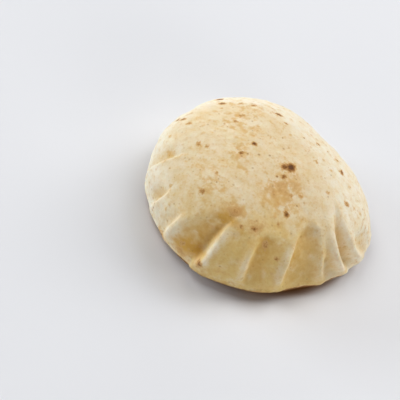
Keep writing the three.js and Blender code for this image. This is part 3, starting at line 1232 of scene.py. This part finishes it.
class Cloud(Enum):
    """The cloudy patterns of the crust: the size of each in mm, and how many finer layers lie on it."""

    SLOW = (16.0, 2.0)
    MOTTLE = (7.0, 5.0)
    PATCH = (4.0, 4.0)
    FINE = (1.2, 3.0)
    PORE = (0.5, 2.0)


class Shade(Enum):
    """The colours of the crust, some of them painted shade on its front wall, hollows, folds and underside.
    """

    CRUST = (0.82, 0.69, 0.48)
    STRAW = (0.80, 0.65, 0.42)
    PALE = (0.89, 0.83, 0.69)
    FRONT_SHADE = (0.78, 0.585, 0.25)
    HOLLOW_SHADE = (0.70, 0.47, 0.17)
    GILT_AND_SHADE = (0.66, 0.39, 0.085)
    STAIN = (0.94, 0.85, 0.68)
    UNDERSIDE_AND_SHADE = (0.30, 0.14, 0.04)
    FLUSH = (0.69, 0.44, 0.18)
    TOASTED = (0.56, 0.30, 0.10)
    BROWN = (0.28, 0.125, 0.035)
    CHAR = (0.10, 0.042, 0.018)


@dataclass(frozen=True)
class Coat:
    """A colour that comes in as a tone or a cloud goes from low to high, up to its full share there."""

    source: Tone | Cloud
    low: float
    high: float
    share: float
    shade: Shade
    blend: Blend = Blend.COVER


@dataclass(frozen=True)
class CrustFinish:
    """The baked crust: pale dough, golden and toasted patches, blisters, freckles and scorches, with painted
    shade in its hollows, folds, front wall and underside, and painted highlights on its ridges.

    tones are the skin's tones that it reads, and broken says which cloud breaks up which tone, and how
    much. The coats lie over each other in order, with the blisters and freckles between the two sets.
    """

    tones: tuple[Tone, ...] = (
        Tone.TOAST,
        Tone.SCORCH,
        Tone.HOLLOW_SHADE,
        Tone.GILT_AND_SHADE,
        Tone.RIDGE_PALE_AND_HIGHLIGHT,
        Tone.FRONT_SHADE,
        Tone.PALE,
        Tone.UNDERSIDE_AND_SHADE,
        Tone.BLISTER,
    )
    broken: tuple[tuple[Tone, Cloud, float], ...] = (
        (Tone.TOAST, Cloud.SLOW, 0.8),
        (Tone.TOAST, Cloud.PATCH, 1.7),
        (Tone.TOAST, Cloud.FINE, 0.9),
        (Tone.SCORCH, Cloud.PATCH, 0.35),
        (Tone.SCORCH, Cloud.FINE, 0.85),
        (Tone.PALE, Cloud.PATCH, 0.6),
        (Tone.GILT_AND_SHADE, Cloud.PATCH, 1.0),
        (Tone.RIDGE_PALE_AND_HIGHLIGHT, Cloud.PATCH, 1.2),
        (Tone.FRONT_SHADE, Cloud.SLOW, 0.6),
        (Tone.UNDERSIDE_AND_SHADE, Cloud.PATCH, 1.2),
    )
    coats: tuple[Coat, ...] = (
        Coat(Cloud.SLOW, 0.35, 0.65, 1.0, Shade.STRAW),
        Coat(Tone.PALE, 0.1, 0.9, 0.9, Shade.PALE),
        # Painted warm shade on the front wall.
        Coat(Tone.FRONT_SHADE, 0.0, 0.9, 1.0, Shade.FRONT_SHADE),
        # Painted shade in the hollows, partly the less floury crust there.
        Coat(Tone.HOLLOW_SHADE, 0.1, 1.0, 0.6, Shade.HOLLOW_SHADE),
        # Paler crests, partly floury crust and partly painted highlight.
        Coat(Tone.RIDGE_PALE_AND_HIGHLIGHT, 0.2, 1.8, 0.9, Shade.PALE),
        # Golden-orange marks, partly painted shade in the folds.
        Coat(Tone.GILT_AND_SHADE, 0.05, 0.85, 0.95, Shade.GILT_AND_SHADE),
        Coat(Cloud.MOTTLE, 0.48, 0.28, 0.25, Shade.PALE),
        Coat(Cloud.MOTTLE, 0.40, 0.72, 0.65, Shade.STAIN, Blend.STAIN),
        Coat(Cloud.PATCH, 0.40, 0.72, 0.55, Shade.STAIN, Blend.STAIN),
        Coat(Cloud.FINE, 0.38, 0.70, 0.5, Shade.STAIN, Blend.STAIN),
        # The toasted underside, with painted shade under the rim on the front.
        Coat(Tone.UNDERSIDE_AND_SHADE, 0.2, 1.0, 1.0, Shade.UNDERSIDE_AND_SHADE),
        Coat(Tone.TOAST, 0.38, 1.0, 0.8, Shade.FLUSH),
        Coat(Tone.TOAST, 0.75, 1.5, 0.8, Shade.TOASTED),
    )
    scorch_coats: tuple[Coat, ...] = (
        Coat(Tone.SCORCH, 0.08, 0.34, 0.75, Shade.FLUSH),
        Coat(Tone.SCORCH, 0.22, 0.50, 0.85, Shade.TOASTED),
        Coat(Tone.SCORCH, 0.40, 0.68, 0.92, Shade.BROWN),
        Coat(Tone.SCORCH, 0.64, 0.92, 0.90, Shade.CHAR),
    )
    blister_patch: Span = (0.35, 0.6)
    freckle_spacing: float = 3.0
    freckle_half: float = 0.34
    freckle_core: float = 0.45
    freckle_rarity: float = 2.0
    freckle_toast: Span = (0.0, 0.9)
    freckle_shown: Span = (0.3, 0.8)
    freckle_share: float = 0.7
    pore_share: float = 0.4
    bump_depth: float = 0.35
    bump_strength: float = 0.5
    rough_toast: Span = (0.2, 1.2)
    roughness: Span = (0.66, 0.52)
    specular: float = 0.25
    subsurface: float = 0.15
    subsurface_depth: float = 0.0025
    subsurface_radius: Colour = (1.0, 0.55, 0.25)

    def make(self) -> bpy.types.Material:
        """Builds the material.

        Returns:
            The material.
        """
        material, bench = start_material("baked crust")
        place = bench.add("ShaderNodeTexCoord").outputs["Object"]
        maps: dict[Tone | Cloud, Socket] = {cloud: bench.noise(place, *cloud.value) for cloud in Cloud}
        for tone in self.tones:
            maps[tone] = bench.add("ShaderNodeAttribute", attribute_name=tone.value).outputs["Fac"]
        for tone, cloud, share in self.broken:
            maps[tone] = bench.disturb(maps[tone], maps[cloud], share)
        colour: object = (*Shade.CRUST.value, 1.0)
        colour = self.lay_coats(bench, self.coats, maps, colour)
        for share, shade in self.add_spots(bench, place, maps):
            colour = bench.lay(share, colour, shade.value, Blend.COVER)
        colour = self.lay_coats(bench, self.scorch_coats, maps, colour)
        fine = bench.math("MULTIPLY", maps[Cloud.FINE], 1.0 - self.pore_share)
        grain = bench.math("MULTIPLY_ADD", maps[Cloud.PORE], self.pore_share, fine)
        pitted = {"Strength": self.bump_strength, "Distance": self.bump_depth * MM, "Height": grain}
        bench.end_material(
            Base_Color=colour,
            Roughness=bench.ramp(maps[Tone.TOAST], *self.rough_toast, *self.roughness),
            Normal=bench.get("ShaderNodeBump", pitted),
            Subsurface_Weight=self.subsurface,
            Subsurface_Radius=self.subsurface_radius,
            Subsurface_Scale=self.subsurface_depth,
            Specular_IOR_Level=self.specular,
        )
        return material

    def lay_coats(
        self, bench: NodeBench, coats: tuple[Coat, ...], maps: dict[Tone | Cloud, Socket], colour: object
    ) -> Socket:
        """Lays coats over a colour, and gives the result.

        Args:
            bench: the material's bench.
            coats: the coats, lowest first.
            maps: the tones and the clouds.
            colour: the colour they lie on.

        Returns:
            The colour of them all.
        """
        for coat in coats:
            share = bench.ramp(maps[coat.source], coat.low, coat.high, 0.0, coat.share)
            colour = bench.lay(share, colour, coat.shade.value, coat.blend)
        return colour

    def add_spots(
        self, bench: NodeBench, place: Socket, maps: dict[Tone | Cloud, Socket]
    ) -> list[tuple[Socket, Shade]]:
        """Colours the blisters, and scatters pinhead freckles, more of them where the crust is toasted.

        Args:
            bench: the material's bench.
            place: coordinates in metres.
            maps: the tones and the clouds.

        Returns:
            How strongly the blisters, the freckles and the dark freckles show, each with its colour.
        """
        patch = bench.ramp(maps[Cloud.PATCH], *self.blister_patch)
        blister = bench.math("MULTIPLY", maps[Tone.BLISTER], patch)
        cloud = {"Vector": place, "Scale": 1.0 / (self.freckle_spacing * MM)}
        cells = bench.add("ShaderNodeTexVoronoi", cloud)
        drawn = bench.add("ShaderNodeSeparateColor", {"Color": cells.outputs["Color"]}).outputs
        size = bench.math("POWER", drawn["Red"], self.freckle_rarity)
        half = bench.math("MULTIPLY", size, self.freckle_half)
        spot = bench.ramp(bench.math("DIVIDE", cells.outputs["Distance"], half), 1.0, self.freckle_core)
        shown = bench.ramp(maps[Tone.TOAST], *self.freckle_toast, *self.freckle_shown)
        freckle = bench.math("MULTIPLY", spot, shown)
        dark = bench.math("POWER", drawn["Green"], self.freckle_rarity)
        return [
            (blister, Shade.FLUSH),
            (bench.math("MULTIPLY", freckle, self.freckle_share), Shade.TOASTED),
            (bench.math("MULTIPLY", freckle, dark), Shade.BROWN),
        ]


@dataclass(frozen=True)
class TableFinish:
    """A pale, slightly glossy table top, with a brown shadow painted on it where the bread overhangs it."""

    colour: Colour = (0.80, 0.80, 0.82)
    roughness: float = 0.24
    # shade is the colour of the painted shadow under the bread, and the sizes below say where it lies, in
    # mm.
    shade: Colour = (0.36, 0.17, 0.05)
    painted_shadow_centre: Span = (-1.5, 0.6)
    painted_shadow_radius: float = 73.0
    painted_shadow_fade: float = 9.0

    def make(self) -> bpy.types.Material:
        """Builds the material.

        Returns:
            The material.
        """
        material, bench = start_material("pale table")
        place = bench.add("ShaderNodeTexCoord").outputs["Object"]
        centre = (self.painted_shadow_centre[0] * MM, self.painted_shadow_centre[1] * MM, 0.0)
        away = bench.vector("DISTANCE", a=place, b=centre)
        # The painted shadow: full under the bread, fading out just inside its seam.
        under = bench.ramp(away, self.painted_shadow_radius * MM, (self.painted_shadow_radius - self.painted_shadow_fade) * MM)
        colour = bench.lay(under, (*self.colour, 1.0), self.shade, Blend.COVER)
        bench.end_material(Base_Color=colour, Roughness=self.roughness)
        return material


# ---------------- the pieces


@dataclass(frozen=True)
class PitaBread:
    """The bread: one skin with its relief and its finish."""

    form: PuffedForm = field(default_factory=PuffedForm)
    weave: SkinWeave = field(default_factory=SkinWeave)
    toasting: Toasting = field(default_factory=Toasting)
    relief: CrustRelief = field(default_factory=CrustRelief)
    finish: CrustFinish = field(default_factory=CrustFinish)
    name: str = "pita_crust"

    def build(self) -> bpy.types.Object:
        """Makes the piece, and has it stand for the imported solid.

        Returns:
            The piece.
        """
        skin = self.weave.lay(self.form)
        mesh = self.weave.make_mesh(self.name, skin)
        self.toasting.mark_mesh(mesh, skin)
        piece = put(self.name, mesh)
        self.relief.apply(piece, self.finish.make())
        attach(piece, "root")
        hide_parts("pita")
        log.info("%s: %d points, %d facets", piece.name, len(piece.data.vertices), len(piece.data.polygons))
        return piece


@dataclass(frozen=True)
class Softbox:
    """A broad lamp, which doesn't shine back off the table. Places are in metres, the power in watts."""

    name: str
    place: tuple[float, float, float]
    width: float
    height: float
    power: float
    colour: Colour = (1.0, 1.0, 1.0)
    aim: tuple[float, float, float] = (0.0, 0.0, 0.02)

    def build(self) -> bpy.types.Object:
        """Hangs the lamp.

        Returns:
            The lamp.
        """
        light = bpy.data.lights.new(self.name, "AREA")
        light.shape = "RECTANGLE"
        light.size = self.width
        light.size_y = self.height
        light.energy = self.power
        light.color = self.colour
        lamp = put(self.name, light)
        lamp.visible_glossy = False
        lamp.location = self.place
        lamp.rotation_euler = (Vector(self.aim) - Vector(self.place)).to_track_quat("-Z", "Y").to_euler()
        return lamp


@dataclass(frozen=True)
class Viewpoint:
    """Where the camera stands: angles are in degrees, the rest is in mm."""

    aim: tuple[float, float, float] = (-1.5, 0.6, 9.0)
    distance: float = 650.0
    elevation: float = 44.0
    roll: float = 24.0
    swing: float = 3.28
    lens: float = 91.404
    sensor: float = 36.0

    def build(self) -> bpy.types.Object:
        """Sets the camera up.

        Returns:
            The camera.
        """
        camera = bpy.data.cameras.new("camera")
        camera.lens = self.lens
        camera.sensor_width = self.sensor
        turn = Matrix.Rotation(math.radians(QUARTER_TURN - self.elevation), 4, "X")
        away = turn @ Vector((0.0, 0.0, self.distance))
        turn = turn @ Matrix.Rotation(math.radians(self.roll), 4, "Z")
        turn = turn @ Matrix.Rotation(math.radians(self.swing), 4, "Y")
        stand = put("camera", camera)
        stand.matrix_world = Matrix.Translation((Vector(self.aim) + away) * MM) @ turn
        bpy.context.scene.camera = stand
        return stand


@dataclass(frozen=True)
class Studio:
    """The table, the lamps, the air's light and the camera."""

    table_half: float = 2.2
    table: TableFinish = field(default_factory=TableFinish)
    viewpoint: Viewpoint = field(default_factory=Viewpoint)
    air_colour: Colour = (0.96, 0.97, 1.0)
    air_strength: float = 0.8
    lamps: tuple[Softbox, ...] = (
        Softbox("left softbox", (-3.52, 0.0, 0.81), 2.1, 1.35, 86.4, (0.84, 0.92, 1.0)),
        Softbox("high softbox", (-1.8, 0.0, 3.12), 1.8, 1.8, 45.0),
        Softbox("back softbox", (0.9, 1.56, 3.12), 1.8, 1.8, 43.2),
        Softbox("far softbox", (2.08, 2.08, 2.07), 1.8, 1.8, 54.0),
        Softbox("right softbox", (2.49, -2.49, 0.78), 1.8, 1.2, 38.7),
        Softbox("front softbox", (-0.45, -3.51, 0.78), 2.1, 1.2, 5.4),
        Softbox("low softbox", (-0.9, 3.39, 0.78), 1.8, 1.2, 21.6),
    )

    def build(self) -> None:
        """Sets out the table, the lamps, the air's light and the camera."""
        self.make_table()
        for lamp in self.lamps:
            lamp.build()
        world = bpy.data.worlds.new("air")
        world.use_nodes = True
        background = world.node_tree.nodes["Background"].inputs
        background["Color"].default_value = (*self.air_colour, 1.0)
        background["Strength"].default_value = self.air_strength
        world.cycles_visibility.diffuse = False
        bpy.context.scene.world = world
        bpy.context.scene.view_settings.view_transform = "Standard"
        self.viewpoint.build()
        log.info("studio: table, %d lamps and camera", len(self.lamps))

    def make_table(self) -> bpy.types.Object:
        """Makes the table top, which isn't part of the bread.

        Returns:
            The table top.
        """
        half = self.table_half
        mesh = bpy.data.meshes.new("table")
        corners = [(-half, -half, 0.0), (half, -half, 0.0), (half, half, 0.0), (-half, half, 0.0)]
        mesh.from_pydata(corners, [], [(0, 1, 2, 3)])
        mesh.materials.append(self.table.make())
        top = put("table", mesh)
        return top


def main() -> None:
    """Builds the bread and the studio."""
    logging.basicConfig(level=logging.INFO, format="%(name)s: %(message)s")
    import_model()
    PitaBread().build()
    Studio().build()


if __name__ == "__main__":
    main()
